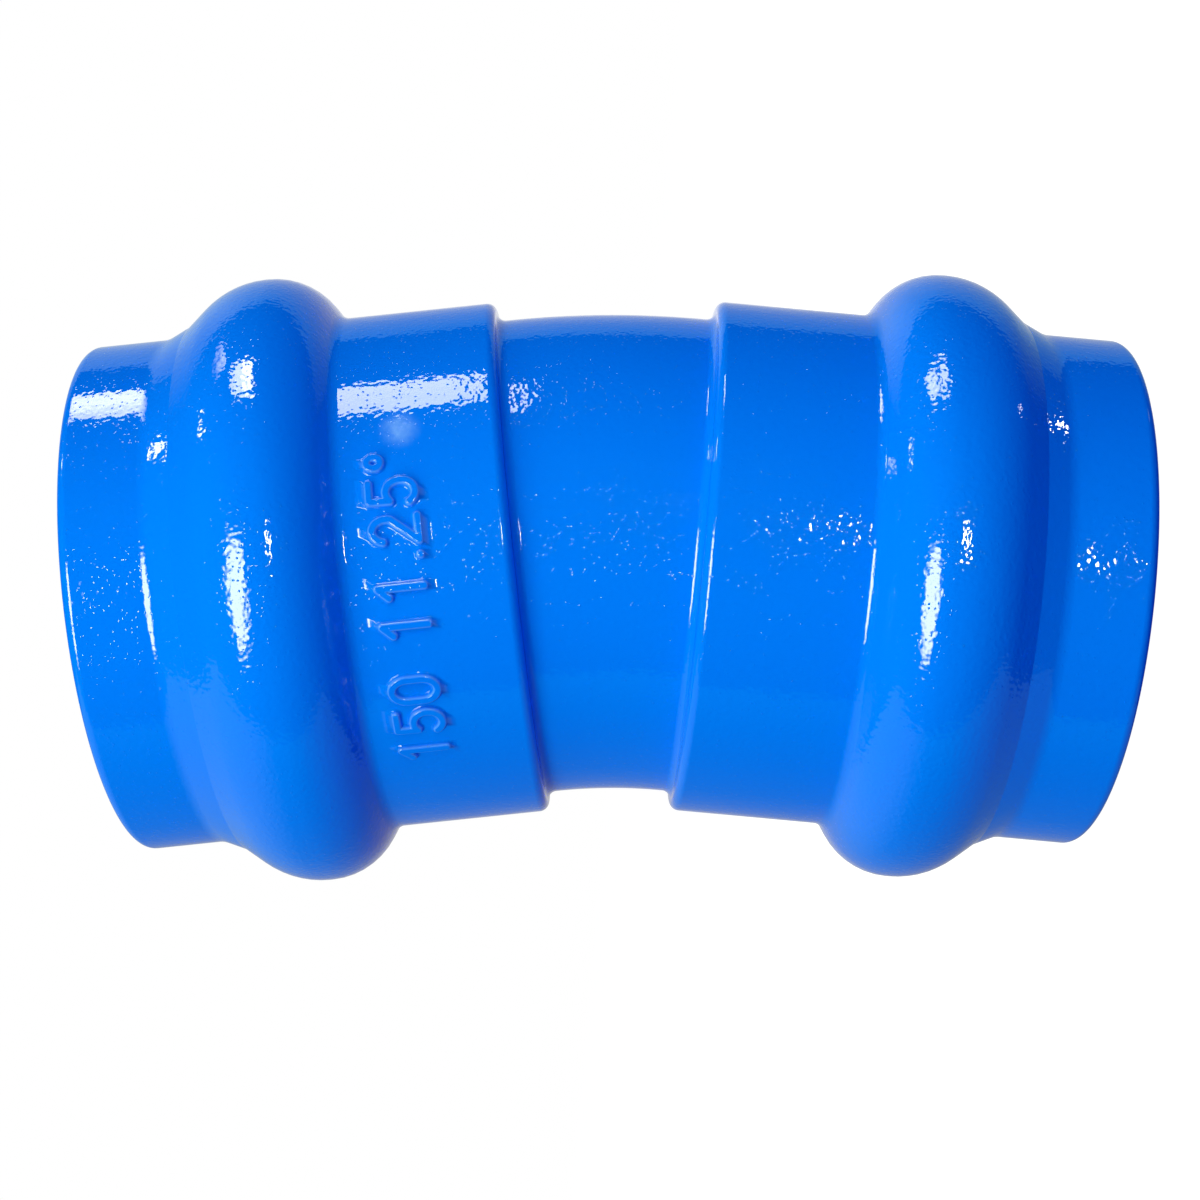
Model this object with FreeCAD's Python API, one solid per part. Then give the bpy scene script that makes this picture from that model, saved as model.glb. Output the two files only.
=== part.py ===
import FreeCAD, Part
import math
import os

# Double socket bend for plastic pressure pipe: one ductile iron casting with a push-fit socket
# at each end and a curved tube between them, and a rubber sealing ring in each socket's groove.
# Millimetres. The origin is the centre of the lower mouth, whose face stands on the ground
# plane, and +Z runs up the lower socket's axis. The upper socket leans towards -X.

# Bend
bend_angle = 11.25
bend_radius = 270.0
corner_to_mouth = 172.0

# Curved tube between the sockets
tube_inner_radius = 76.0
tube_wall = 7.85

# Pipe that the sockets take
pipe_outer_radius = 80.0

# Collar, the part of a socket that the pipe's end fills behind the groove
collar_clearance = 2.2
collar_wall = 8.15
corner_to_collar = 30.0
collar_edge_round = 3.3
collar_root_fillet = 3.0
stop_thickness = 8.5
stop_root_fillet = 2.5
stop_edge_round = 3.0

# Groove for the sealing ring, and the bulge over it
groove_depth = 16.9
groove_wall = 8.3
groove_front_angle = 50.0
groove_front_lip_round = 1.5
groove_back_lip_round = 2.0
corner_to_bulge = 108.0
bulge_land = 1.0
bulge_back_angle = 57.0
bulge_back_round = 24.5
bulge_foot_fillet = 4.5
bulge_front_angle = 40.0
bulge_front_round = 31.0

# Throat between the bulge and the mouth
crease_from_mouth = 36.7
crease_fillet = 0.8
throat_angle = 25.0
throat_fillet = 10.0

# Mouth
mouth_clearance = 1.3
mouth_wall = 8.0
mouth_edge_round = 3.5
lead_in_depth = 2.5
lead_in_length = 4.3
lead_in_round = 2.0

# Sealing ring
ring_clearance = 0.15
ring_squeeze = 2.2
ring_heel_height = 3.2
ring_heel_round = 1.2
ring_back_height = 6.0
ring_back_round = 2.0
ring_waist_height = 3.5
ring_waist_length = 4.0
ring_waist_round = 2.5
ring_lip_length = 8.0
ring_lip_front_round = 4.0
ring_lip_back_round = 3.0
ring_neck_length = 11.0
ring_neck_height = 2.0
ring_neck_round = 4.0


def tangent(degrees):
    return math.tan(math.radians(degrees))


# Sizes that follow from the ones above
bend_tangent = bend_radius * tangent(bend_angle / 2.0)
tube_outer_radius = tube_inner_radius + tube_wall
collar_inner_radius = pipe_outer_radius + collar_clearance
collar_outer_radius = collar_inner_radius + collar_wall
mouth_inner_radius = pipe_outer_radius + mouth_clearance
mouth_outer_radius = mouth_inner_radius + mouth_wall
groove_radius = mouth_inner_radius + groove_depth
bulge_outer_radius = groove_radius + groove_wall
pipe_stop = corner_to_collar + stop_thickness
crease_place = corner_to_mouth - crease_from_mouth


def point(place, radius):
    # A point of a socket's half section: place along the axis from the bend's corner
    # towards the mouth, radius out from the axis.
    return FreeCAD.Vector(radius, 0.0, place)


def rounded_outline(corners):
    # Closed outline through the corners (place, radius, rounding), each rounding a tangent arc.
    starts = []
    ends = []
    arcs = []
    count = len(corners)
    for index in range(count):
        before = point(*corners[index - 1][:2])
        here = point(*corners[index][:2])
        after = point(*corners[(index + 1) % count][:2])
        rounding = corners[index][2]
        if rounding == 0.0:
            starts.append(here)
            ends.append(here)
            arcs.append(None)
            continue
        back = (before - here).normalize()
        ahead = (after - here).normalize()
        half_opening = back.getAngle(ahead) / 2.0
        setback = rounding / math.tan(half_opening)
        start = here + back * setback
        end = here + ahead * setback
        centre = here + (back + ahead).normalize() * (rounding / math.sin(half_opening))
        middle = centre + (here - centre).normalize() * rounding
        starts.append(start)
        ends.append(end)
        arcs.append(Part.Arc(start, middle, end).toShape())
    edges = []
    for index in range(count):
        if arcs[index]:
            edges.append(arcs[index])
        following = starts[(index + 1) % count]
        edges.append(Part.LineSegment(ends[index], following).toShape())
    return Part.Wire(edges)


def turned(corners):
    # Solid of revolution of a rounded outline about the socket's axis.
    section = Part.Face(rounded_outline(corners))
    return section.revolve(FreeCAD.Vector(0, 0, 0), FreeCAD.Vector(0, 0, 1), 360.0)


def crown(top_radius, back_round, back_angle, front_round, front_angle):
    # The two rounded corners that make a bulge's crown: its flanks meet the crown's short
    # land at their own angles and are rounded into it.
    back_place = corner_to_bulge - bulge_land / 2.0 - back_round * tangent(back_angle / 2.0)
    front_place = corner_to_bulge + bulge_land / 2.0 + front_round * tangent(front_angle / 2.0)
    return (back_place, top_radius, back_round), (front_place, top_radius, front_round)


def flank_place(crown_corner, radius, angle, side):
    # Where a flank at the angle, falling from a crown corner, reaches the radius.
    place, top_radius = crown_corner[:2]
    return place + side * (top_radius - radius) / tangent(angle)


def outer_corners():
    # Outside of a socket, from the curved tube to the mouth's face.
    back, front = crown(bulge_outer_radius, bulge_back_round, bulge_back_angle,
                        bulge_front_round, bulge_front_angle)
    foot_place = flank_place(back, collar_outer_radius, bulge_back_angle, -1)
    crease_radius = bulge_outer_radius - (crease_place - front[0]) * tangent(bulge_front_angle)
    throat_end = crease_place + (crease_radius - mouth_outer_radius) / tangent(throat_angle)
    return [
        (bend_tangent, tube_outer_radius, 0.0),
        (corner_to_collar, tube_outer_radius, collar_root_fillet),
        (corner_to_collar, collar_outer_radius, collar_edge_round),
        (foot_place, collar_outer_radius, bulge_foot_fillet),
        back,
        front,
        (crease_place, crease_radius, crease_fillet),
        (throat_end, mouth_outer_radius, throat_fillet),
        (corner_to_mouth, mouth_outer_radius, mouth_edge_round),
    ]


def groove_crown():
    # Crown of the groove, under the bulge's crown and one wall inside it.
    return crown(groove_radius, bulge_back_round - groove_wall, bulge_back_angle,
                 bulge_front_round - groove_wall, groove_front_angle)


def inner_corners():
    # Inside of a socket, from the mouth's face back to the curved tube.
    back, front = groove_crown()
    front_lip = flank_place(front, mouth_inner_radius, groove_front_angle, 1)
    back_lip = flank_place(back, collar_inner_radius, bulge_back_angle, -1)
    return [
        (corner_to_mouth, mouth_inner_radius + lead_in_depth, 0.0),
        (corner_to_mouth - lead_in_length, mouth_inner_radius, lead_in_round),
        (front_lip, mouth_inner_radius, groove_front_lip_round),
        front,
        back,
        (back_lip, collar_inner_radius, groove_back_lip_round),
        (pipe_stop, collar_inner_radius, stop_root_fillet),
        (pipe_stop, tube_inner_radius, stop_edge_round),
        (bend_tangent, tube_inner_radius, 0.0),
    ]


def socket():
    return turned(outer_corners() + inner_corners())


def curved_tube():
    # Tube between the sockets, an arc of the bend radius that is tangent to both axes.
    base = FreeCAD.Vector(0, 0, corner_to_mouth - bend_tangent)
    up = FreeCAD.Vector(0, 0, 1)
    outside = Part.Wire(Part.makeCircle(tube_outer_radius, base, up))
    inside = Part.Wire(Part.makeCircle(tube_inner_radius, base, up))
    section = Part.Face([outside, inside])
    hub = base - FreeCAD.Vector(bend_radius, 0, 0)
    return section.revolve(hub, FreeCAD.Vector(0, -1, 0), bend_angle)


def sealing_ring():
    # Rubber ring: its back bears in the groove, its heel sits behind the mouth's lip, and its
    # lip reaches in past the pipe's outside, so that the pipe squeezes it.
    back, front = groove_crown()
    crown_radius = groove_radius - ring_clearance
    front_slope = math.radians(groove_front_angle)
    back_slope = math.radians(bulge_back_angle)
    front_round = front[2] - ring_clearance
    back_round = back[2] - ring_clearance
    front_place = front[0] - ring_clearance * math.tan(front_slope / 2.0)
    back_place = back[0] + ring_clearance * math.tan(back_slope / 2.0)
    heel_radius = mouth_inner_radius + ring_heel_height
    heel_place = front_place + (crown_radius - heel_radius) / math.tan(front_slope)
    back_radius = crown_radius - ring_back_height
    back_end = back_place - (crown_radius - back_radius) / math.tan(back_slope)
    lip_radius = pipe_outer_radius - ring_squeeze
    waist_place = back_end + ring_waist_length
    waist_radius = back_radius - ring_waist_height
    lip_front = waist_place + ring_lip_length
    neck_place = lip_front + ring_neck_length
    neck_radius = mouth_inner_radius + ring_neck_height
    return turned([
        (heel_place, heel_radius, ring_heel_round),
        (front_place, crown_radius, front_round),
        (back_place, crown_radius, back_round),
        (back_end, back_radius, ring_back_round),
        (waist_place, waist_radius, ring_waist_round),
        (waist_place, lip_radius, ring_lip_back_round),
        (lip_front, lip_radius, ring_lip_front_round),
        (neck_place, neck_radius, ring_neck_round),
    ])


def in_lower_socket(shape):
    # Turns a shape's socket frame mouth down, with the mouth on the ground plane.
    placed = shape.copy()
    placed.rotate(FreeCAD.Vector(0, 0, 0), FreeCAD.Vector(0, 1, 0), 180.0)
    placed.translate(FreeCAD.Vector(0, 0, corner_to_mouth))
    return placed


def in_upper_socket(shape):
    # Leans a shape's socket frame by the bend's angle, about the bend's corner.
    placed = shape.copy()
    placed.rotate(FreeCAD.Vector(0, 0, 0), FreeCAD.Vector(0, -1, 0), bend_angle)
    placed.translate(FreeCAD.Vector(0, 0, corner_to_mouth))
    return placed


def bend_body():
    end = socket()
    joined = in_lower_socket(end).fuse([curved_tube(), in_upper_socket(end)])
    return joined.removeSplitter()


def save(name, shape):
    solid = shape.Solids[0] if len(shape.Solids) == 1 else shape
    solid.exportStep("parts/" + name + ".step")
    box = solid.BoundBox
    print(name, "solids", len(shape.Solids), "valid", solid.isValid(),
          "volume cm3", round(solid.Volume / 1000.0, 2),
          "box", round(box.XMin, 2), round(box.YMin, 2), round(box.ZMin, 2),
          round(box.XMax, 2), round(box.YMax, 2), round(box.ZMax, 2))


os.makedirs("parts", exist_ok=True)
ring = sealing_ring()
save("bend_body", bend_body())
save("lower_sealing_ring", in_lower_socket(ring))
save("upper_sealing_ring", in_upper_socket(ring))
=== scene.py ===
import math

import bpy
import numpy as np
from mathutils import Matrix, Vector


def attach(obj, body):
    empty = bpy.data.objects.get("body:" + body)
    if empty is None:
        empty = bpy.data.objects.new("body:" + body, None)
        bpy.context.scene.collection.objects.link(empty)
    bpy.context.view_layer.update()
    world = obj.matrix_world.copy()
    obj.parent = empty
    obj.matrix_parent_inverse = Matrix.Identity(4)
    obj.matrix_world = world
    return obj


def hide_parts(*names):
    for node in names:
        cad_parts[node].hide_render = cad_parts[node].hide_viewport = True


# Double socket bend: a ductile iron casting with a blue fusion-bonded epoxy coat, and an EPDM
# sealing ring in each socket's groove. Shapes are given in millimetres and made in metres.
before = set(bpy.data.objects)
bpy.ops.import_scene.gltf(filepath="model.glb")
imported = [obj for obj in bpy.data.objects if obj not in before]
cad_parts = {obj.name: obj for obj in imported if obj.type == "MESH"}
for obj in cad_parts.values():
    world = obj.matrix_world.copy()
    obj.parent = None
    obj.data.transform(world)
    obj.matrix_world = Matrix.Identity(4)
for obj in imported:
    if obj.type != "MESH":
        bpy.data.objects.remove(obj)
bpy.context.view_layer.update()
mm = 0.001


# Line of the bend
bend = {
    "angle": math.radians(11.25),  # turn between the two sockets
    "radius": 270.0,               # of the curved tube's centre line
    "cornerToMouth": 172.0,        # along each axis, from where the axes cross
}
arcHalf = bend["radius"] * bend["angle"] / 2
bendTangent = bend["radius"] * math.tan(bend["angle"] / 2)
axesCross = np.array([0.0, 0.0, bend["cornerToMouth"]])
arcHub = axesCross - np.array([bend["radius"], 0.0, bendTangent])


def along(place):
    # Length along the centre line, from its middle, of a place measured along an axis.
    return place - bendTangent + arcHalf


def fromFront(degrees):
    # Angle around the centre line of a line that lies so many degrees from the one that faces
    # -Y, towards the bend's outer side.
    return math.radians(90.0 - degrees)


def bendFrame(length):
    # Centre, forward and outward vectors at a length along the centre line: an arc about the
    # hub between -arcHalf and arcHalf, and straight beyond both of its ends.
    turn = np.clip((length + arcHalf) / bend["radius"], 0.0, bend["angle"])
    zero = np.zeros_like(turn)
    forward = np.stack([-np.sin(turn), zero, np.cos(turn)], -1)
    outward = np.stack([np.cos(turn), zero, np.sin(turn)], -1)
    beyond = length - np.clip(length, -arcHalf, arcHalf)
    centre = arcHub + bend["radius"] * outward + beyond[..., None] * forward
    return centre, forward, outward


def carried(length, radius, around, forwardPart, awayPart, ringPart=0.0):
    # Points at a length, a radius and an angle around the centre line, and their normals, the
    # sum of parts along the line, away from it and round it. The angle runs from the bend's
    # outer side towards -Y.
    centre, forward, outward = bendFrame(length)
    front = np.array([0.0, -1.0, 0.0])
    cosine = np.cos(around)[..., None]
    sine = np.sin(around)[..., None]
    away = cosine * outward + sine * front
    ring = cosine * front - sine * outward
    points = centre + np.asarray(radius)[..., None] * away
    normals = (np.asarray(forwardPart)[..., None] * forward
               + np.asarray(awayPart)[..., None] * away
               + np.asarray(ringPart)[..., None] * ring)
    return points, normals / np.linalg.norm(normals, axis=-1, keepdims=True)


def roundedLoop(corners, arcStep, lineStep):
    # Closed line through corners (place, radius, rounding): straight runs joined by arcs that
    # touch both of a corner's runs. Gives its points and their normals, which point left of
    # the way the line runs.
    corners = np.array(corners, float)
    places = corners[:, :2]
    rounding = corners[:, 2]
    back = np.roll(places, 1, axis=0) - places
    ahead = np.roll(places, -1, axis=0) - places
    back = back / np.linalg.norm(back, axis=1)[:, None]
    ahead = ahead / np.linalg.norm(ahead, axis=1)[:, None]
    half = np.arccos(np.clip((back * ahead).sum(1), -1, 1)) / 2
    setback = (rounding / np.tan(half))[:, None]
    starts = places + back * setback
    ends = places + ahead * setback
    middle = back + ahead
    middle = middle / np.linalg.norm(middle, axis=1)[:, None]
    centres = places + middle * (rounding / np.sin(half))[:, None]
    points = []
    normals = []
    for i in range(len(corners)):
        bow = math.pi - 2 * half[i]
        count = max(math.ceil(bow / arcStep), math.ceil(bow * rounding[i] / lineStep), 1)
        first = np.array([back[i, 1], -back[i, 0]])
        last = np.array([-ahead[i, 1], ahead[i, 0]])
        share = np.linspace(0.0, 1.0, count + 1)[:, None]
        fan = (np.sin((1 - share) * bow) * first + np.sin(share * bow) * last) / math.sin(bow)
        outwards = 1.0 if np.dot(places[i] - centres[i], first + last) > 0 else -1.0
        points.append(centres[i] + outwards * rounding[i] * fan)
        normals.append(fan)
        run = starts[(i + 1) % len(corners)] - ends[i]
        steps = max(math.ceil(np.linalg.norm(run) / lineStep), 1)
        share = np.linspace(0.0, 1.0, steps + 1)[1:-1, None]
        points.append(ends[i] + share * run)
        normals.append(np.repeat(last[None], len(share), axis=0))
    return np.concatenate(points), np.concatenate(normals)


# Half section of one socket, as the CAD solid's, with the mouth's one sharp edge rounded a little
socket = {
    "tubeOuter": 83.85, "tubeInner": 76.0,
    "collarOuter": 90.35, "collarInner": 82.2,
    "mouthOuter": 89.3, "mouthInner": 81.3,
    "bulgeOuter": 106.5, "grooveRadius": 98.2,
    "collarPlace": 30.0, "stopPlace": 38.5, "bulgePlace": 108.0, "creasePlace": 135.3,
    "land": 1.0, "backAngle": 57.0, "frontAngle": 40.0, "grooveFrontAngle": 50.0,
    "throatAngle": 25.0,
    "backRound": 24.5, "frontRound": 31.0, "footFillet": 4.5, "creaseFillet": 0.8,
    "throatFillet": 10.0, "collarFillet": 3.0, "collarRound": 3.3, "mouthRound": 3.5,
    "stopFillet": 2.5, "stopRound": 3.0, "backLipRound": 2.0, "frontLipRound": 1.5,
    "leadInDepth": 2.5, "leadInLength": 4.3, "leadInRound": 2.0, "faceRound": 0.5,
}


def tangent(degrees):
    # Tangent of an angle in degrees.
    return math.tan(math.radians(degrees))


def crown(top, backRound, frontRound, frontAngle):
    # The two rounded corners of a crown: its flanks meet a short land at their angles.
    s = socket
    backPlace = s["bulgePlace"] - s["land"] / 2 - backRound * tangent(s["backAngle"] / 2)
    frontPlace = s["bulgePlace"] + s["land"] / 2 + frontRound * tangent(frontAngle / 2)
    return (backPlace, top, backRound), (frontPlace, top, frontRound)


def flankPlace(corner, radius, angle, side):
    # Where a flank at an angle, falling from a crown's corner, reaches a radius.
    return corner[0] + side * (corner[1] - radius) / tangent(angle)


def socketOutside():
    # From the tube to the mouth: step up to the collar, foot and crown of the bulge, crease
    # where the front flank turns shallower, throat and mouth.
    s = socket
    back, front = crown(s["bulgeOuter"], s["backRound"], s["frontRound"], s["frontAngle"])
    foot = flankPlace(back, s["collarOuter"], s["backAngle"], -1)
    crease = s["bulgeOuter"] - (s["creasePlace"] - front[0]) * tangent(s["frontAngle"])
    throat = s["creasePlace"] + (crease - s["mouthOuter"]) / tangent(s["throatAngle"])
    return [
        (s["collarPlace"], s["tubeOuter"], s["collarFillet"]),
        (s["collarPlace"], s["collarOuter"], s["collarRound"]),
        (foot, s["collarOuter"], s["footFillet"]),
        back,
        front,
        (s["creasePlace"], crease, s["creaseFillet"]),
        (throat, s["mouthOuter"], s["throatFillet"]),
        (bend["cornerToMouth"], s["mouthOuter"], s["mouthRound"]),
    ]


def socketInside():
    # From the mouth back to the tube: lead-in, lip, groove, lip and the stop for the pipe's
    # end. The groove's crown lies one wall inside the bulge's crown.
    s = socket
    wall = s["bulgeOuter"] - s["grooveRadius"]
    back, front = crown(s["grooveRadius"], s["backRound"] - wall, s["frontRound"] - wall,
                        s["grooveFrontAngle"])
    frontLip = flankPlace(front, s["mouthInner"], s["grooveFrontAngle"], 1)
    backLip = flankPlace(back, s["collarInner"], s["backAngle"], -1)
    return [
        (bend["cornerToMouth"], s["mouthInner"] + s["leadInDepth"], s["faceRound"]),
        (bend["cornerToMouth"] - s["leadInLength"], s["mouthInner"], s["leadInRound"]),
        (frontLip, s["mouthInner"], s["frontLipRound"]),
        front,
        back,
        (backLip, s["collarInner"], s["backLipRound"]),
        (s["stopPlace"], s["collarInner"], s["stopFillet"]),
        (s["stopPlace"], s["tubeInner"], s["stopRound"]),
    ]


# Plain raised figures on the upper collar: the bore in millimetres and the bend's angle
figures = {
    "text": "150 11.25°",
    "height": 14.6,        # over the strokes' middle lines
    "width": 8.0,
    "advance": 12.0,       # from one figure to the next, along the collar's round
    "narrow": {" ": 0.75, ".": 0.55},  # parts of it that these two take
    "baseline": 58.4,      # place of the figures' feet, from the corner of the axes
    "start": -44.0,        # degrees from the line that faces -Y, towards the bend's outer side
    "rise": 1.50,
    "flat": 0.75,          # half width of a stroke's top
    "slope": 1.35,         # width of a stroke's side
}


def curve(middle, across, up, start, end, steps):
    # Points of an ellipse's arc about its middle, from one angle to another in degrees.
    angle = np.radians(np.linspace(start, end, steps))
    return np.stack([middle[0] + across * np.cos(angle), middle[1] + up * np.sin(angle)], 1)


def figureLines():
    # Middle lines of the strokes, each figure in a box one wide and one high.
    top = curve((0.5, 0.66), 0.48, 0.34, start=0, end=180, steps=14)
    bottom = curve((0.5, 0.34), 0.48, 0.34, start=180, end=360, steps=14)
    hook = curve((0.49, 0.70), 0.45, 0.30, start=165, end=-22, steps=14)
    bowl = curve((0.48, 0.32), 0.50, 0.32, start=132, end=-145, steps=20)
    ring = curve((0.28, 0.86), 0.24, 0.15, start=0, end=360, steps=18)
    return {
        "0": np.concatenate([top, bottom, top[:1]]),
        "1": np.array([(0.22, 0.78), (0.60, 1.0), (0.60, 0.0)]),
        "2": np.concatenate([hook, [(0.04, 0.0), (0.98, 0.0)]]),
        "5": np.concatenate([[(0.90, 1.0), (0.16, 1.0)], bowl]),
        ".": np.array([(0.30, 0.0), (0.30, 0.01)]),
        "°": ring,
    }


def figureRelief(acrossText, upText):
    # Height of the figures over the collar and its two slopes: full within the strokes' flat
    # tops, then falling as a half cosine of the distance from them. All are millimetres.
    f = figures
    lines = figureLines()
    nearest = np.full(np.broadcast(acrossText, upText).shape, np.inf)
    gapAcross = np.zeros_like(nearest)
    gapUp = np.zeros_like(nearest)
    pen = 0.0
    for letter in f["text"]:
        knots = lines.get(letter, np.empty((0, 2))) * (f["width"], f["height"]) + (pen, 0.0)
        for first, last in zip(knots[:-1], knots[1:]):
            run = last - first
            share = (acrossText - first[0]) * run[0] + (upText - first[1]) * run[1]
            share = np.clip(share / (run @ run), 0.0, 1.0)
            across = acrossText - first[0] - share * run[0]
            up = upText - first[1] - share * run[1]
            gap = np.hypot(across, up)
            closer = gap < nearest
            nearest = np.where(closer, gap, nearest)
            gapAcross = np.where(closer, across, gapAcross)
            gapUp = np.where(closer, up, gapUp)
        pen += f["advance"] * f["narrow"].get(letter, 1.0)
    fall = np.clip((nearest - f["flat"]) / f["slope"], 0.0, 1.0)
    height = f["rise"] / 2 * (1 + np.cos(math.pi * fall))
    steepness = -f["rise"] / 2 * math.pi / f["slope"] * np.sin(math.pi * fall)
    steepness = steepness / np.maximum(nearest, f["flat"])
    return height, steepness * gapAcross, steepness * gapUp


# Grid of the casting's surface
castingGrid = {
    "around": 180,            # columns
    "arcStep": math.radians(9.0),  # greatest turn between two rows
    "lineStep": 3.6,          # greatest gap between them
    "figuresFrom": 55.0,      # the finer patch for the figures, along the axis
    "figuresTo": 77.5,
    "figuresLow": -48.0,      # and around it, in degrees from the line that faces -Y
    "figuresHigh": 30.0,
    "finer": 10,              # parts of each grid cell there
}


def meridian():
    # Closed line along the outside of both sockets and back along their inside. The lower
    # socket is the upper one mirrored about the bend's middle.
    outside = [(along(place), radius, rounding) for place, radius, rounding in socketOutside()]
    inside = [(along(place), radius, rounding) for place, radius, rounding in socketInside()]
    upper = outside + inside
    lower = [(-place, radius, rounding) for place, radius, rounding in reversed(upper)]
    corners = lower[len(inside):] + upper + lower[:len(inside)]
    return roundedLoop(corners, castingGrid["arcStep"], castingGrid["lineStep"])


def gridQuads(index):
    # Quads between the neighbours in a grid of vertex numbers.
    return np.stack([index[:-1, :-1], index[1:, :-1], index[1:, 1:], index[:-1, 1:]], -1)


def castingMesh():
    # The meridian carried round the centre line. The grid's cells under the figures are split
    # finer, and the cells next to them take the finer edge as extra corners.
    g = castingGrid
    collar = socket["collarOuter"]
    line, lineNormals = meridian()
    around = np.arange(g["around"]) * 2 * math.pi / g["around"]
    points, normals = carried(line[:, :1], line[:, 1:], around,
                              lineNormals[:, :1], lineNormals[:, 1:])
    grid = np.arange(points[..., 0].size).reshape(len(line), -1)

    # first and last row and column of the figures' patch, and its finer rows and columns
    place, radius = line.T
    inPatch = np.isclose(radius, collar) & (place > 0)
    inPatch &= (place >= along(g["figuresFrom"])) & (place <= along(g["figuresTo"]))
    top, bottom = np.nonzero(inPatch)[0][[0, -1]]
    left = round(fromFront(g["figuresHigh"]) / around[1])
    right = round(fromFront(g["figuresLow"]) / around[1])
    fine = g["finer"]
    fineLength = np.linspace(place[top], place[bottom], (bottom - top) * fine + 1)[:, None]
    fineAround = np.linspace(around[left], around[right], (right - left) * fine + 1)
    rise, slopeAcross, slopeUp = figureRelief((fromFront(figures["start"]) - fineAround) * collar,
                                              fineLength - along(figures["baseline"]))
    patchPoints, patchNormals = carried(fineLength, collar + rise, fineAround,
                                        -slopeUp, 1.0, slopeAcross)
    patch = grid.size + np.arange(rise.size).reshape(rise.shape)

    # the cells outside the patch, those of the patch, and the border cells that join them
    quads = gridQuads(np.pad(grid, (0, 1), mode="wrap"))
    keep = np.ones(quads.shape[:2], bool)
    keep[top - 1:bottom + 1, left:right] = False
    keep[top:bottom, left - 1:right + 1] = False
    quads = np.concatenate([quads[keep], gridQuads(patch).reshape(-1, 4)])
    row = np.arange(top, bottom)
    column = np.arange(left, right)
    downEdge = (row - top)[:, None] * fine + np.arange(fine + 1)
    acrossEdge = (column - left)[:, None] * fine + np.arange(fine + 1)
    borders = np.concatenate([
        np.column_stack([grid[top - 1, column], patch[0, acrossEdge],
                         grid[top - 1, column + 1]]),
        np.column_stack([grid[bottom + 1, column + 1], patch[-1, acrossEdge[:, ::-1]],
                         grid[bottom + 1, column]]),
        np.column_stack([grid[row + 1, left - 1], patch[downEdge[:, ::-1], 0],
                         grid[row, left - 1]]),
        np.column_stack([grid[row, right + 1], patch[downEdge, -1],
                         grid[row + 1, right + 1]]),
    ])

    # one vertex where the grid and the patch share it, and none that no cell uses
    same = np.arange(grid.size + patch.size)
    same[grid[top:bottom + 1, left:right + 1]] = patch[::fine, ::fine]
    used = np.unique(same[np.concatenate([quads.ravel(), borders.ravel()])])
    renumber = np.zeros(len(same), int)
    renumber[used] = np.arange(len(used))
    faces = renumber[same[quads]].tolist() + renumber[same[borders]].tolist()

    # what the coat reads: 0 to 1 up the figures, and 0 to 1 up the bulges
    bulging = np.clip((radius - collar) / (socket["bulgeOuter"] - collar), 0.0, 1.0)
    attributes = {
        "relief": np.concatenate([np.zeros(grid.size), rise.ravel() / figures["rise"]]),
        "bulging": np.concatenate([np.repeat(bulging, g["around"]), np.zeros(patch.size)]),
    }
    points = np.concatenate([points.reshape(-1, 3), patchPoints.reshape(-1, 3)])
    normals = np.concatenate([normals.reshape(-1, 3), patchNormals.reshape(-1, 3)])
    attributes = {name: values[used] for name, values in attributes.items()}
    return points[used] * mm, normals[used], faces, attributes


def meshPiece(name, points, normals, faces, material):
    # A piece at the origin from arrays of points, outward normals and faces.
    mesh = bpy.data.meshes.new(name)
    mesh.from_pydata(points.tolist(), [], faces)
    mesh.polygons.foreach_set("use_smooth", np.ones(len(mesh.polygons), bool))
    mesh.normals_split_custom_set_from_vertices(normals.tolist())
    mesh.materials.append(material)
    mesh.update()
    piece = bpy.data.objects.new(name, mesh)
    bpy.context.scene.collection.objects.link(piece)
    return piece


def linearColour(code):
    # Linear values of a hex sRGB colour.
    parts = [int(code[i:i + 2], 16) / 255 for i in (1, 3, 5)]
    return [v / 12.92 if v <= 0.04045 else ((v + 0.055) / 1.055) ** 2.4 for v in parts] + [1.0]


def addNode(tree, kind, inputs=(), take=0, **settings):
    # Adds a node with its settings and gives the output to take from it. The inputs are a list
    # in the node's order, or a dictionary by name or number: a socket is linked to its input,
    # and anything else is the input's value.
    node = tree.nodes.new("ShaderNode" + kind)
    for key, value in settings.items():
        setattr(node, key, value)
    pairs = inputs.items() if isinstance(inputs, dict) else enumerate(inputs)
    for key, value in pairs:
        if isinstance(value, bpy.types.NodeSocket):
            tree.links.new(value, node.inputs[key])
        else:
            node.inputs[key].default_value = value
    return node.outputs[take] if node.outputs else None


def newMaterial(name):
    # A material without nodes, and its tree.
    material = bpy.data.materials.new(name)
    material.use_nodes = True
    material.node_tree.nodes.clear()
    return material, material.node_tree


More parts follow.
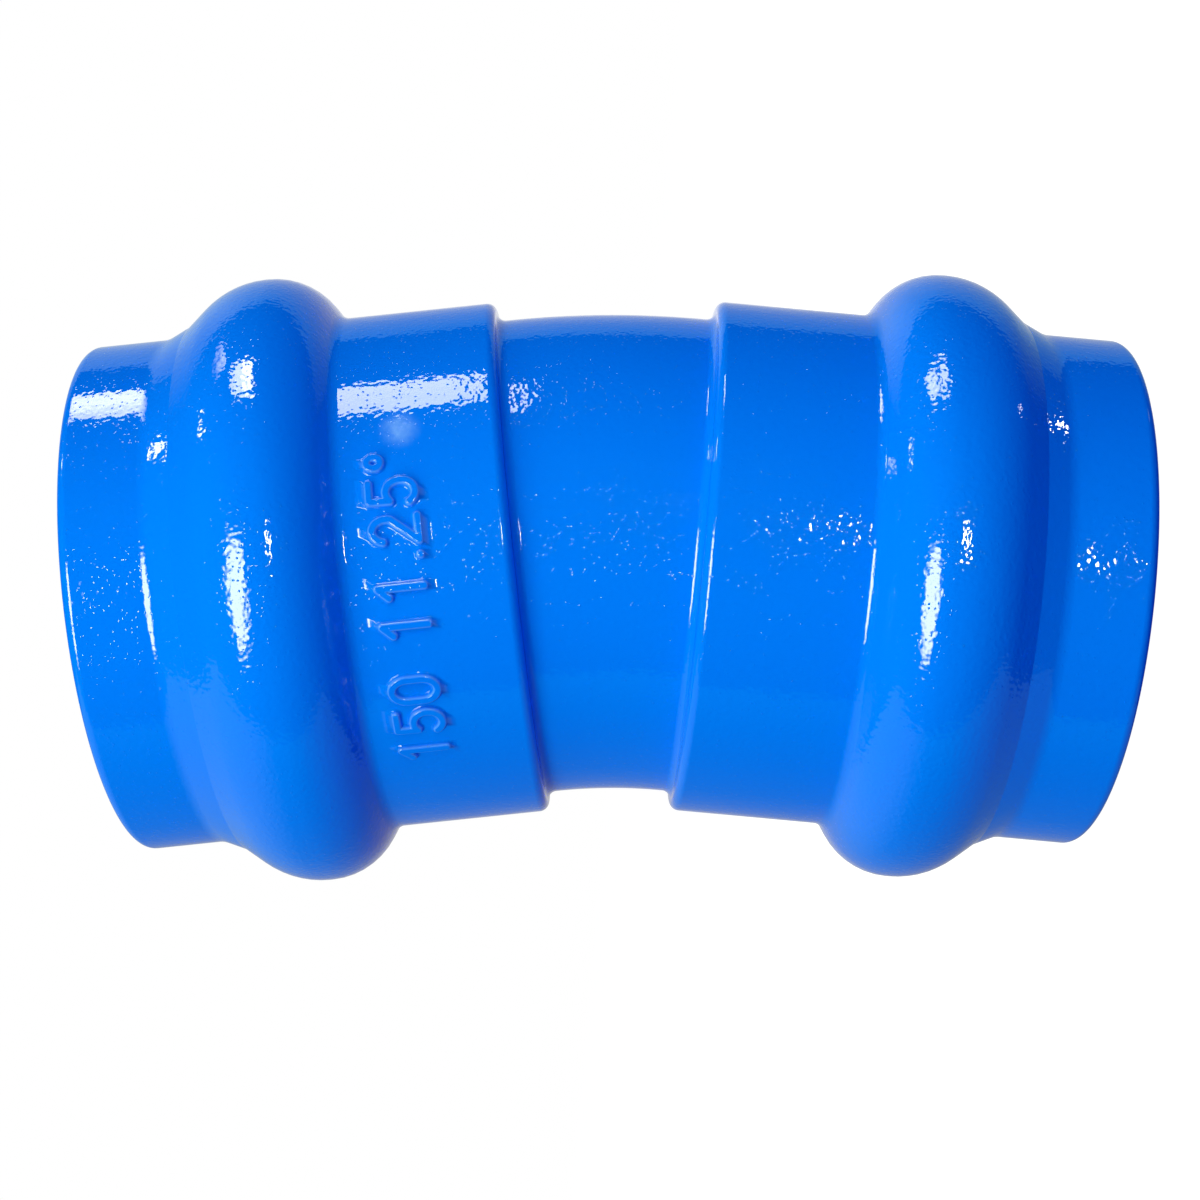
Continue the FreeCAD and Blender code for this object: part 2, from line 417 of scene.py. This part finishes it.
# Fusion-bonded epoxy: powder melted on the hot casting. It gives a deep glossy blue with an
# orange-peel skin and scattered nibs, and carries the sand mould's slow unevenness.
epoxyCoat = {
    "colour": "#0068e8",
    "roughness": 0.02,
    "ior": 1.52,
    "castingWave": 24.0,    # mm, slow unevenness of the sand mould
    "castingHeight": 0.16,
    "peelWave": 3.2,        # mm, orange peel of the melted powder
    "peelHeight": 0.065,
    "rippleWave": 1.5,      # mm, ripples on the peel
    "rippleHeight": 0.028,
    "nibSpacing": 1.6,      # mm, nibs of half melted powder
    "nibRadius": 0.27,      # as a part of the spacing
    "nibHeight": 0.115,
    "patchWave": 40.0,      # mm, over which the ripples grow and fade
    "patchFrom": 0.35,      # values of that noise with the least and the greatest growth
    "patchTo": 0.65,
    "patchLeast": 1.5,      # the least and the greatest growth, as parts of the ripples' height
    "patchMost": 2.0,
    "bulgeMore": 1.0,       # what the bulges, where the coat is thicker, add to that
    "paintedLightColour": "#6fa6f4",  # of the painted glow at the rougher matt spot, and of the painted sheen at the figures' edges
    "paintedSheenShare": 0.32,      # of that colour, a painted sheen, at the figures' edges
    "paintedSheenRise": (0.35, 0.75),  # parts of a figure's height over which that share comes
    "paintedSheenFall": (1.0, 0.85),   # and over which it goes again, down from the top
    "mattSpotPlace": 62.0,     # mm, middle of a rougher matt spot on the upper collar, which the pale colour lightens as a painted glow
    "mattSpotTurn": 28.0,      # degrees from the line that faces -Y, towards the bend's outer side
    "mattSpotRadius": 8.5,     # mm
    "paintedGlowShare": 0.90,     # of the pale colour, a painted glow, at its middle, where the peel is highest
    "mattSpotRoughness": 0.25,
}


def epoxyMaterial():
    # The normal is bumped by the sand mould's waves, the peel, the ripples and the nibs, each on
    # top of the one before. The pale colour is mixed in as a painted glow at the rougher matt spot
    # and as a painted sheen at the figures' edges.
    c = epoxyCoat
    material, tree = newMaterial("fusionBondedEpoxyOnDuctileIron")
    place = addNode(tree, "TexCoord", take="Object")
    noise = {}
    for name, detail in (("casting", 1.0), ("peel", 1.0), ("ripple", 0.0), ("patch", 0.0)):
        scale = 1 / (c[name + "Wave"] * mm)
        noise[name] = addNode(tree, "TexNoise", {"Vector": place, "Scale": scale, "Detail": detail})

    # ripples: taller in patches and on the bulges
    ripple = c["rippleHeight"] * mm
    grown = addNode(tree, "MapRange", [noise["patch"], c["patchFrom"], c["patchTo"],
                                       c["patchLeast"] * ripple, c["patchMost"] * ripple])
    bulging = addNode(tree, "Attribute", take="Fac", attribute_name="bulging")
    more = addNode(tree, "MapRange", [bulging, 0.0, 1.0, 1.0, 1.0 + c["bulgeMore"]])
    rippleHeight = addNode(tree, "Math", [grown, more], operation="MULTIPLY")

    # nibs: round grains of differing height in the middles of scattered cells
    cells = addNode(tree, "TexVoronoi", {"Vector": place, "Scale": 1 / (c["nibSpacing"] * mm)})
    nib = addNode(tree, "MapRange", [cells, c["nibRadius"], 0.0], interpolation_type="SMOOTHSTEP")
    nibs = addNode(tree, "Math", [nib, cells.node.outputs["Color"]], operation="MULTIPLY")

    below = {}
    for height, distance in ((noise["casting"], c["castingHeight"] * mm),
                             (noise["peel"], c["peelHeight"] * mm),
                             (noise["ripple"], rippleHeight),
                             (nibs, c["nibHeight"] * mm)):
        normal = addNode(tree, "Bump", {"Height": height, "Distance": distance, **below})
        below = {"Normal": normal}

    # matt spot: rougher towards its middle; its pale colour there, mottled as the peel is, is a
    # painted glow
    middle, _ = carried(along(c["mattSpotPlace"]), socket["collarOuter"], fromFront(c["mattSpotTurn"]),
                        0.0, 1.0)
    gap = addNode(tree, "VectorMath", [place, middle * mm], take="Value", operation="DISTANCE")
    mattSpot = addNode(tree, "MapRange", [gap, c["mattSpotRadius"] * mm, 0.0],
                    interpolation_type="SMOOTHERSTEP")
    roughness = addNode(tree, "MapRange", [mattSpot, 0.0, 1.0, c["roughness"], c["mattSpotRoughness"]])
    paintedGlow = addNode(tree, "Math", [mattSpot, noise["peel"]], operation="MULTIPLY")
    paintedGlow = addNode(tree, "Math", [paintedGlow, c["paintedGlowShare"]], operation="MULTIPLY")

    # painted sheen on the figures' edges: between their feet and their flat tops
    relief = addNode(tree, "Attribute", take="Fac", attribute_name="relief")
    rising = addNode(tree, "MapRange", [relief, *c["paintedSheenRise"]])
    falling = addNode(tree, "MapRange", [relief, *c["paintedSheenFall"]])
    edge = addNode(tree, "Math", [rising, falling], operation="MULTIPLY")
    edge = addNode(tree, "Math", [edge, c["paintedSheenShare"]], operation="MULTIPLY")

    # a Mix node's colours are its inputs 6 and 7 and its output 2
    # the pale colour here is painted light: glow at the matt spot, sheen at the figures' edges
    paintedLight = addNode(tree, "Math", [edge, paintedGlow], operation="MAXIMUM")
    paint = addNode(tree, "Mix", {0: paintedLight, 6: linearColour(c["colour"]),
                                  7: linearColour(c["paintedLightColour"])}, take=2, data_type="RGBA")
    shader = addNode(tree, "BsdfPrincipled", {"Base Color": paint, "Roughness": roughness,
                                              "IOR": c["ior"], "Normal": normal})
    addNode(tree, "OutputMaterial", [shader])
    return material


# Moulded EPDM: near black, satin, with a fine bloom
rubber = {"colour": "#1b1c1e", "roughness": 0.48, "ior": 1.5, "skinWave": 0.7, "skinHeight": 0.03}


def rubberMaterial():
    # The mould's fine skin is a bump.
    material, tree = newMaterial("mouldedEpdmRubber")
    place = addNode(tree, "TexCoord", take="Object")
    scale = 1 / (rubber["skinWave"] * mm)
    skin = addNode(tree, "TexNoise", {"Vector": place, "Scale": scale, "Detail": 3.0})
    normal = addNode(tree, "Bump", {"Height": skin, "Distance": rubber["skinHeight"] * mm})
    shader = addNode(tree, "BsdfPrincipled", {"Base Color": linearColour(rubber["colour"]),
                                              "Roughness": rubber["roughness"],
                                              "IOR": rubber["ior"], "Normal": normal})
    addNode(tree, "OutputMaterial", [shader])
    return material


# The photograph's frame: the camera faces the bend's flat side and is rolled, so that the
# standing bend lies across the picture with its upper socket at the left.
photo = {
    "size": 1200,                 # pixels
    "crossing": (607.5, 548.5),   # where the crossing of the axes shows
    "pixel": 0.3571,              # mm at that distance
    "distance": 700.0,            # mm
    "roll": math.radians(0.35),
    "sensor": 36.0,
    "nearest": 0.01,              # m, what the camera shows
    "farthest": 30.0,
}


def photoAxes():
    # Right, up and towards the camera in the photograph, as vectors of the part's frame.
    lean = bend["angle"] / 2
    right = Vector((math.sin(lean), 0.0, -math.cos(lean)))
    up = Vector((math.cos(lean), 0.0, math.sin(lean)))
    roll = photo["roll"]
    return (math.cos(roll) * right - math.sin(roll) * up,
            math.sin(roll) * right + math.cos(roll) * up,
            Vector((0.0, -1.0, 0.0)))


def fromPhoto(parts):
    # The vector that has these parts along the photograph's axes.
    return sum((part * axis for part, axis in zip(parts, photoAxes())), Vector())


def addPlaced(name, data, axes, fromCross):
    # A camera or light with these axes, at a place in millimetres from where the axes cross.
    thing = bpy.data.objects.new(name, data)
    place = (Vector(axesCross) + fromCross) * mm
    thing.matrix_world = Matrix.Translation(place) @ Matrix(axes).transposed().to_4x4()
    bpy.context.scene.collection.objects.link(thing)
    return thing


def addCamera():
    # It stands in front of the crossing of the axes, moved against the crossing's distance
    # from the picture's middle.
    p = photo
    across = (p["size"] / 2 - p["crossing"][0]) * p["pixel"]
    above = (p["crossing"][1] - p["size"] / 2) * p["pixel"]
    data = bpy.data.cameras.new("photoCamera")
    data.sensor_width = p["sensor"]
    data.lens = p["sensor"] * p["distance"] / (p["pixel"] * p["size"])
    data.clip_start = p["nearest"]
    data.clip_end = p["farthest"]
    camera = addPlaced("photoCamera", data, photoAxes(),
                       fromPhoto((across, above, p["distance"])))
    bpy.context.scene.camera = camera


# Soft lamps that light the coat's colour: direction in the photograph's axes (right, up,
# towards the camera), distance and side in millimetres, radiance of red, green and blue
lamps = {
    "lowLeftLamp": {"from": (-0.50, -0.60, 0.62), "away": 1500, "side": 900,
                    "radiance": (10.2, 10.2, 5.8)},
    "highLeftLamp": {"from": (-0.50, 0.60, 0.62), "away": 1500, "side": 900,
                     "radiance": (5.4, 5.4, 3.1)},
    "farLeftLamp": {"from": (-0.90, 0.0, 0.44), "away": 1500, "side": 900,
                    "radiance": (2.2, 2.2, 1.25)},
    "highBackLamp": {"from": (-0.45, 0.55, -0.70), "away": 1500, "side": 900,
                     "radiance": (8.0, 8.0, 4.6)},
    "lowBackLamp": {"from": (-0.45, -0.55, -0.70), "away": 1500, "side": 900,
                    "radiance": (6.0, 6.0, 3.4)},
    "highNearLamp": {"from": (0.0, 0.45, 0.89), "away": 550, "side": 300,
                     "radiance": (4.0, 4.0, 2.3)},
}


def addLamp(name, lamp):
    # A square area lamp that faces the crossing of the axes. It shows in no reflection.
    way = fromPhoto(lamp["from"]).normalized()
    side = photoAxes()[1].cross(way).normalized()
    brightest = max(lamp["radiance"])
    data = bpy.data.lights.new(name, "AREA")
    data.size = lamp["side"] * mm
    data.color = [part / brightest for part in lamp["radiance"]]
    data.energy = brightest * math.pi * data.size ** 2
    light = addPlaced(name, data, (side, way.cross(side), way), way * lamp["away"])
    light.visible_camera = False
    light.visible_glossy = False


# Small softboxes just above the sockets, which show in reflections only: middle, in
# millimetres from where the axes cross, width, depth, radiance, way that it faces, and the
# spread that its grid leaves of its light
softboxes = {
    "mouthSoftbox": {"middle": (-212, 160, 55), "width": 52, "depth": 43, "radiance": 14.0,
                     "facing": (0.34, -1.0, 0.10), "spread": math.radians(42)},
    "bulgeSoftbox": {"middle": (-151, 160, 105), "width": 38, "depth": 40, "radiance": 14.0,
                     "facing": (0.32, -1.0, -0.18), "spread": math.radians(60)},
    "lowerBulgeSoftbox": {"middle": (53, 153, 100), "width": 30, "depth": 36, "radiance": 14.0,
                          "facing": (0.42, -0.90, -0.12), "spread": math.radians(38)},
    "lowerMouthSoftbox": {"middle": (242, 115, 58), "width": 4, "depth": 24, "radiance": 60.0,
                          "facing": (-0.761, -0.635, 0.129), "spread": math.radians(16)},
}


def addSoftbox(name, box):
    # An oblong area light with a grid. A grid's beam is brighter along its middle, which the
    # gain takes off again.
    back = -fromPhoto(box["facing"]).normalized()
    side = photoAxes()[2].cross(back).normalized()
    half = box["spread"] / 2
    gain = math.tan(half) / (math.tan(half) - half)
    data = bpy.data.lights.new(name, "AREA")
    data.shape = "RECTANGLE"
    data.size = box["width"] * mm
    data.size_y = box["depth"] * mm
    data.spread = box["spread"]
    data.energy = box["radiance"] * math.pi * data.size * data.size_y / gain
    light = addPlaced(name, data, (-side, side.cross(back), back), fromPhoto(box["middle"]))
    light.visible_camera = False
    light.visible_diffuse = False


# What the gloss sees: a white table that starts below the camera and turns up behind the bend,
# bright panels, and an otherwise dark room. All are so far away that only the direction counts,
# given by its parts in the photograph's axes. A pair is where a mask is 0 and where it is 1.
surroundings = {
    "tableEdge": math.radians(59.0),   # below the camera's direction
    "tableSoftness": 0.02,
    "tableSides": 2.3,                 # its ends, left and right, over its depth below
    "tableEnd": (0.0, 0.05),
    "backdropEnd": (0.80, 0.40),       # left or right part
    "backdropEdge": (0.594, 0.606),    # part away from the camera
    "backdropTurn": 0.20,              # and how much the left or right part adds to that
    "ramp": [                          # part towards the camera, table's colour there
        (-1.00, (1.0, 1.0, 1.0)),
        (-0.93, (0.50, 0.56, 0.60)),
        (-0.80, (0.30, 0.44, 0.48)),
        (-0.60, (0.14, 0.40, 0.44)),
        (-0.20, (0.06, 0.48, 0.52)),
        (0.20, (0.01, 0.60, 0.62)),
        (0.50, (0.02, 0.84, 0.84)),
    ],
    "farColours": [                    # right part, table's colour far to the left and right
        ((-0.15, -0.50), (0.50, 0.70, 0.72)),
        ((0.25, 0.75), (0.15, 0.50, 0.54)),
    ],
    "dimming": (0.1, -0.1),            # upward part, from full brightness to dimmed
    "dimmed": 0.6,                     # brightness where it lies below the bend
    "room": (0.004, 0.012, 0.02),
    "ambient": (0.01, 0.02, 0.38),     # what lights the coat's colour from all round
    "white": (1.0, 1.0, 1.0),          # what the camera sees
}
# corner directions in the photograph's axes, radiance, softness of the edges
panels = [
    {"corners": [(-0.29, 1, 0.02), (-0.14, 1, 0.045), (-0.14, 1, 0.335), (-0.29, 1, 0.34)],
     "radiance": 11.0, "edge": 0.006},
    {"corners": [(-0.58, 0.20, 0.79), (-0.36, 0.20, 0.91), (-0.32, -0.05, 0.94),
                 (-0.38, -0.42, 0.82), (-0.52, -0.46, 0.72), (-0.66, -0.10, 0.74)],
     "radiance": 18.0, "edge": 0.045},
    {"corners": [(0.188, 0.13, 0.98), (0.22, 0.13, 0.97), (0.22, 0.30, 0.93),
                 (0.188, 0.30, 0.94)],
     "radiance": 90.0, "edge": 0.01},
    {"corners": [(-0.82, 0.52, -0.01), (-0.82, 0.52, 0.07), (-0.82, 0.60, 0.07),
                 (-0.82, 0.60, -0.01)],
     "radiance": 18.0, "edge": 0.006},
]


def panelLight(tree, way, panel):
    # The panel's radiance where the direction is on the inner side of all the planes that run
    # from the bend through the panel's edges.
    corners = [fromPhoto(corner).normalized() for corner in panel["corners"]]
    middle = sum(corners, Vector())
    light = panel["radiance"]
    for first, last in zip(corners, corners[1:] + corners[:1]):
        inner = first.cross(last).normalized()
        if inner.dot(middle) < 0:
            inner = -inner
        part = addNode(tree, "VectorMath", [way, inner], take="Value", operation="DOT_PRODUCT")
        inside = addNode(tree, "MapRange", [part, -panel["edge"], panel["edge"]])
        light = addNode(tree, "Math", [inside, light], operation="MULTIPLY")
    return light


def buildWorld():
    # The gloss sees the table and backdrop within their masks, else the room, and the panels
    # on top. The coat's colour gets the ambient light, and the camera sees white.
    s = surroundings
    right, up, towards = photoAxes()
    world = bpy.data.worlds.new("studio")
    bpy.context.scene.world = world
    world.use_nodes = True
    world.cycles.sampling_method = "NONE"  # not a lamp: the gloss finds the panels by itself
    tree = world.node_tree
    tree.nodes.clear()
    way = addNode(tree, "TexCoord", take="Generated")
    axes = {
        "across": right,
        "upward": up,
        "facing": towards,
        "belowEdge": -(math.cos(s["tableEdge"]) * up + math.sin(s["tableEdge"]) * towards),
        "leftEnd": right - s["tableSides"] * up,
        "rightEnd": -right - s["tableSides"] * up,
    }
    part = {}
    for name, axis in axes.items():
        part[name] = addNode(tree, "VectorMath", [way, axis], take="Value",
                             operation="DOT_PRODUCT")

    # table, between its edge and its two ends
    lit = addNode(tree, "MapRange", [part["belowEdge"], -s["tableSoftness"], s["tableSoftness"]])
    for name in ("leftEnd", "rightEnd"):
        end = addNode(tree, "MapRange", [part[name], *s["tableEnd"]])
        lit = addNode(tree, "Math", [lit, end], operation="MULTIPLY")

    # backdrop, which reaches further round at the left and right
    sideways = addNode(tree, "Math", [part["across"]], operation="ABSOLUTE")
    turned = addNode(tree, "Math", [sideways, s["backdropTurn"]], operation="MULTIPLY")
    away = addNode(tree, "Math", [turned, part["facing"]], operation="SUBTRACT")
    behind = addNode(tree, "MapRange", [away, *s["backdropEdge"]])
    end = addNode(tree, "MapRange", [sideways, *s["backdropEnd"]])
    backdrop = addNode(tree, "Math", [behind, end], operation="MULTIPLY")
    lit = addNode(tree, "Math", [lit, backdrop], operation="MAXIMUM")

    # their colour and brightness
    share = addNode(tree, "MapRange", [part["facing"], -1.0, 1.0])
    colour = addNode(tree, "ValToRGB", [share])
    stops = colour.node.color_ramp.elements
    while len(stops) < len(s["ramp"]):
        stops.new(1.0)  # each gets its place below
    for stop, (place, tone) in zip(stops, s["ramp"]):
        stop.position = (place + 1) / 2
        stop.color = (*tone, 1.0)
    for places, tone in s["farColours"]:
        share = addNode(tree, "MapRange", [part["across"], *places])
        colour = addNode(tree, "Mix", {0: share, 6: colour, 7: (*tone, 1.0)}, take=2,
                         data_type="RGBA")
    brightness = addNode(tree, "MapRange", [part["upward"], *s["dimming"], 1.0, s["dimmed"]])

    panelsLight = 0.0
    for panel in panels:
        panelsLight = addNode(tree, "Math", [panelLight(tree, way, panel), panelsLight],
                              operation="ADD")
    plain = {name: addNode(tree, "Background", [(*s[name], 1.0)])
             for name in ("room", "ambient", "white")}
    sheet = addNode(tree, "Background", [colour, brightness])
    glow = addNode(tree, "Background", [(*s["white"], 1.0), panelsLight])
    studio = addNode(tree, "MixShader", [lit, plain["room"], sheet])
    studio = addNode(tree, "AddShader", [studio, glow])
    for ray, seen in (("Is Diffuse Ray", "ambient"), ("Is Camera Ray", "white")):
        studio = addNode(tree, "MixShader", [addNode(tree, "LightPath", take=ray), studio,
                                             plain[seen]])
    addNode(tree, "OutputWorld", [studio])


# Pale floor at the mouth's face: nearly all its own light, so that hardly a shadow shows
floor = {"half": 12000.0, "colour": "#ffffff", "glow": 1.0, "reflectance": 0.12}


def addFloor():
    # A square about the origin.
    material, tree = newMaterial("paleFloor")
    glow = addNode(tree, "Emission", [linearColour(floor["colour"]), floor["glow"]])
    paint = addNode(tree, "BsdfDiffuse", [(floor["reflectance"],) * 3 + (1.0,)])
    both = addNode(tree, "AddShader", [glow, paint])
    addNode(tree, "OutputMaterial", [both])
    points = np.array([(-1, -1, 0), (1, -1, 0), (1, 1, 0), (-1, 1, 0)]) * floor["half"] * mm
    piece = meshPiece("floor", points, np.tile((0.0, 0.0, 1.0), (4, 1)), [[0, 1, 2, 3]],
                      material)
    piece.visible_glossy = False
    piece.visible_diffuse = False


addCamera()
print("camera placed")

points, normals, faces, attributes = castingMesh()
casting = meshPiece("coatedCasting", points, normals, faces, epoxyMaterial())
for name, values in attributes.items():
    casting.data.attributes.new(name, "FLOAT", "POINT").data.foreach_set("value", values)
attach(casting, "root")
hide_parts("bend_body")
print("casting made:", len(points), "vertices,", sum(len(face) - 2 for face in faces), "triangles")

seal = rubberMaterial()
for name in ("lower_sealing_ring", "upper_sealing_ring"):
    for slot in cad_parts[name].material_slots:
        slot.material = seal
print("rings finished")

addFloor()
for name, lamp in lamps.items():
    addLamp(name, lamp)
for name, box in softboxes.items():
    addSoftbox(name, box)
buildWorld()
bpy.context.scene.view_settings.view_transform = "Standard"
print("studio lit")
